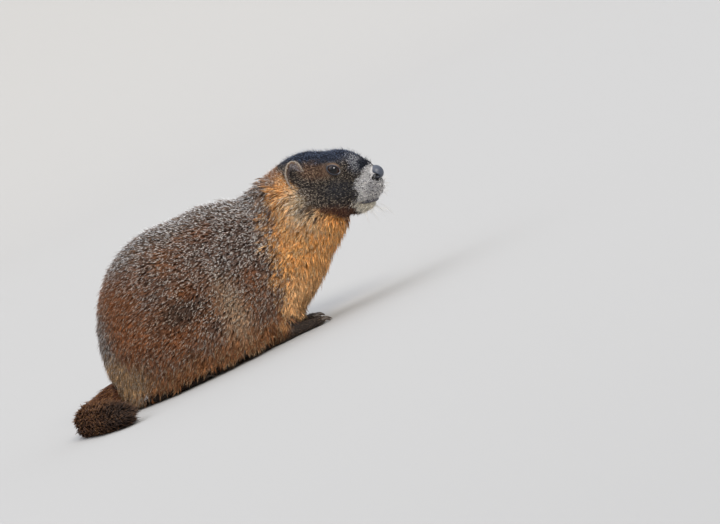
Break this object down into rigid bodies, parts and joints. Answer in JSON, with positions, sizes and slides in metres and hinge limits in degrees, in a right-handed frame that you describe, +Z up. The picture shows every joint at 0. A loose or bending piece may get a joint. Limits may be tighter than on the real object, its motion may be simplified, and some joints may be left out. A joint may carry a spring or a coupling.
{
  "type": "yellow-bellied marmot",
  "caption": "Crouching yellow-bellied marmot at life size with its head turned to the right, resting on flat soles with its bushy tail laid round on the floor.",
  "frame": {"origin": "on the floor under the middle of the animal's overall box, tail included", "axes": "+X the way the body faces, +Y the animal's left, +Z up"},
  "size_m": [0.4032, 0.217, 0.1693],
  "materials": {
    "body_fur": "grizzled brown fur with pale tips",
    "neck_fur": "long rusty orange fur with cream streaks",
    "head_fur": "short black fur, grizzled on the cheeks and white on the muzzle",
    "tail_fur": "bushy fur, rufous at the root and dark brown at the tip",
    "foot_fur": "short blackish brown fur over the toes",
    "bare_skin": "grey bare skin, slightly moist",
    "eye": "glossy dark brown glass eye"
  },
  "bodies": {
    "root": {"torso": "body_fur", "hindleg_left": "body_fur", "hindleg_right": "body_fur", "foreleg_left": "body_fur", "foreleg_right": "body_fur", "neck": "neck_fur", "head": "head_fur", "ear_left": "head_fur", "ear_right": "head_fur", "nose": "bare_skin", "eye_left": "eye", "eye_right": "eye", "forefoot_left": "foot_fur", "forefoot_right": "foot_fur", "hindfoot_left": "foot_fur", "hindfoot_right": "foot_fur", "tail_base": "tail_fur", "tail_middle": "tail_fur", "tail_tip": "tail_fur"}
  },
  "joints": []
}
